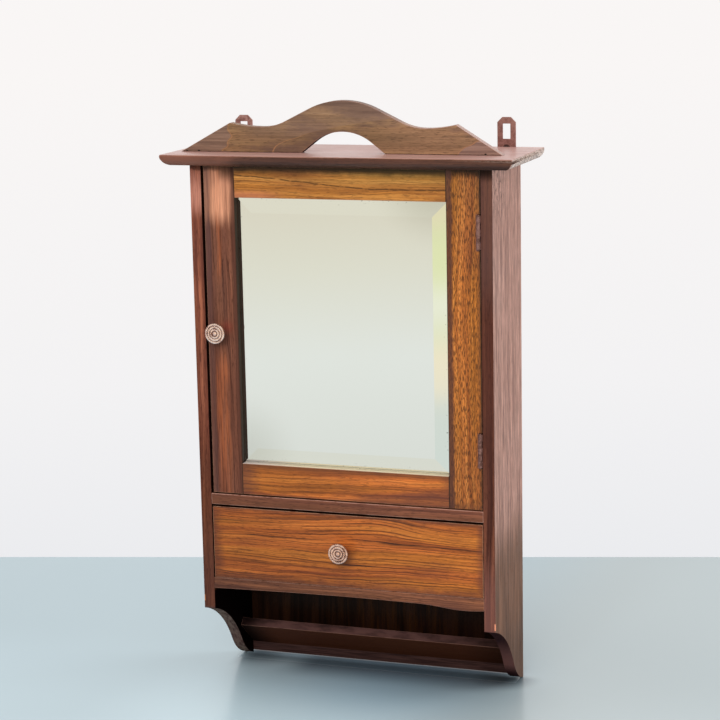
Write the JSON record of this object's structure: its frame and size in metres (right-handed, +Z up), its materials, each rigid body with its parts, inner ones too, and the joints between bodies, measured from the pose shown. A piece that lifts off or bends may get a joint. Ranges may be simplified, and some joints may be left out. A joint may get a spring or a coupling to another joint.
{
  "type": "medicine cabinet",
  "caption": "Wall-hung wooden medicine cabinet with a bevelled mirror door, a drawer, an open niche with a slanted comb tray, and a shaped pediment.",
  "frame": {"origin": "on the wall plane, on the cabinet's centre line, at the height of the mirror's centre", "axes": "+Z up, +Y into the wall, so the front faces -Y; +X to the right as seen from the front"},
  "size_m": [0.44, 0.1525, 0.7369],
  "materials": {
    "case_wood": "stained dark red-brown and varnished, worn",
    "frame_wood": "figured orange-brown veneer, varnished, worn",
    "plain_wood": "unfinished softwood",
    "mirror": "silvered glass with a polished bevel",
    "knob_metal": "worn copper tone",
    "steel": "dull steel",
    "plate_metal": "red-brown patina"
  },
  "bodies": {
    "case": {"side_left": "case_wood", "side_right": "case_wood", "top_board": "case_wood", "pediment": "case_wood", "divider": "case_wood", "floor_board": "plain_wood", "apron": "case_wood", "back_panel": "case_wood", "tray_board": "case_wood", "shelf_upper": "plain_wood", "shelf_lower": "plain_wood", "shelf_cleats": "plain_wood", "door_stop": "plain_wood", "drawer_stops": "plain_wood", "catch_clip": "steel", "hanging_plate_left": "plate_metal", "hanging_plate_right": "plate_metal", "hanging_screws": "steel", "hinge_leaves_case": "steel", "hinge_pins": "steel", "hinge_screws_case": "steel"},
    "door": {"stile_left": "frame_wood", "stile_right": "frame_wood", "rail_top": "frame_wood", "rail_bottom": "frame_wood", "mirror_plate": "mirror", "mirror_backing": "plain_wood", "mirror_beads": "plain_wood", "hinge_leaves_door": "steel", "hinge_screws_door": "steel", "catch_strike": "steel", "door_knob": "knob_metal", "door_knob_screw": "steel"},
    "drawer": {"drawer_front": "frame_wood", "drawer_side_left": "plain_wood", "drawer_side_right": "plain_wood", "drawer_back": "plain_wood", "drawer_bottom": "plain_wood", "drawer_knob": "knob_metal", "drawer_knob_screw": "steel"}
  },
  "joints": [
    {"name": "door_hinge", "type": "hinge", "parent": "case", "child": "door", "pos_m": [0.1731, -0.131, 0], "axis": [0, 0, 1], "range_deg": [0, 110]},
    {"name": "drawer_slide", "type": "slide", "parent": "case", "child": "drawer", "axis": [0, -1, 0], "range_m": [0, 0.085]}
  ]
}
